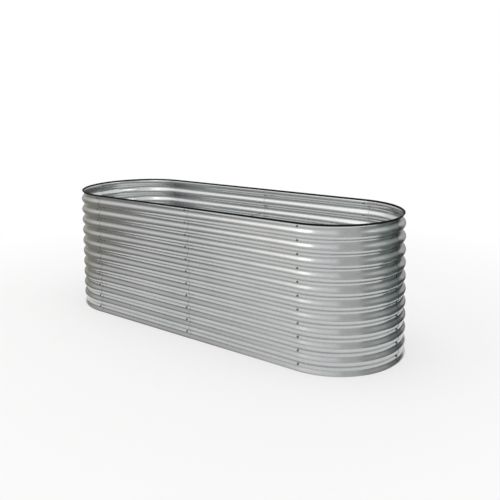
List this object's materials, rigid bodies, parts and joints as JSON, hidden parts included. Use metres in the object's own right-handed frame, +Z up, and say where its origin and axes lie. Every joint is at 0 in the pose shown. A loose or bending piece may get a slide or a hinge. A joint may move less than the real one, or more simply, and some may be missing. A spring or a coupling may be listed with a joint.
{
  "type": "raised garden bed",
  "caption": "Oval raised garden bed of corrugated galvanised steel sheets bolted at lapped seams, open at top and bottom, with tie rods across and rubber trim on the edge.",
  "frame": {"origin": "on the ground at the middle of the bed", "axes": "+X along the bed, +Y across it to the back, +Z up"},
  "size_m": [2.3824, 0.8066, 0.7967],
  "materials": {
    "corrugated_sheet": "satin",
    "edge_rubber": "matte",
    "bolt_steel": "satin",
    "washer_zinc": "satin",
    "nut_zinc": "satin",
    "rod_steel": "satin"
  },
  "bodies": {
    "root": {"back_left_seam_bolts": "bolt_steel", "back_left_seam_nuts": "nut_zinc", "back_left_seam_washers": "washer_zinc", "back_middle_seam_bolts": "bolt_steel", "back_middle_seam_nuts": "nut_zinc", "back_middle_seam_washers": "washer_zinc", "back_right_seam_bolts": "bolt_steel", "back_right_seam_nuts": "nut_zinc", "back_right_seam_washers": "washer_zinc", "corner_back_left": "corrugated_sheet", "corner_back_right": "corrugated_sheet", "corner_front_left": "corrugated_sheet", "corner_front_right": "corrugated_sheet", "edge_trim_back": "edge_rubber", "edge_trim_left": "edge_rubber", "edge_trim_right_front": "edge_rubber", "edge_trim_right_rear": "edge_rubber", "front_left_seam_bolts": "bolt_steel", "front_left_seam_nuts": "nut_zinc", "front_left_seam_washers": "washer_zinc", "front_middle_seam_bolts": "bolt_steel", "front_middle_seam_nuts": "nut_zinc", "front_middle_seam_washers": "washer_zinc", "front_right_seam_bolts": "bolt_steel", "front_right_seam_nuts": "nut_zinc", "front_right_seam_washers": "washer_zinc", "left_end_seam_bolts": "bolt_steel", "left_end_seam_nuts": "nut_zinc", "left_end_seam_washers": "washer_zinc", "panel_back_left": "corrugated_sheet", "panel_back_right": "corrugated_sheet", "panel_front_left": "corrugated_sheet", "panel_front_right": "corrugated_sheet", "right_end_seam_bolts": "bolt_steel", "right_end_seam_nuts": "nut_zinc", "right_end_seam_washers": "washer_zinc", "tie_rod_couplings": "nut_zinc", "tie_rod_lock_nuts": "nut_zinc", "tie_rod_lower": "rod_steel", "tie_rod_upper": "rod_steel"}
  },
  "joints": []
}
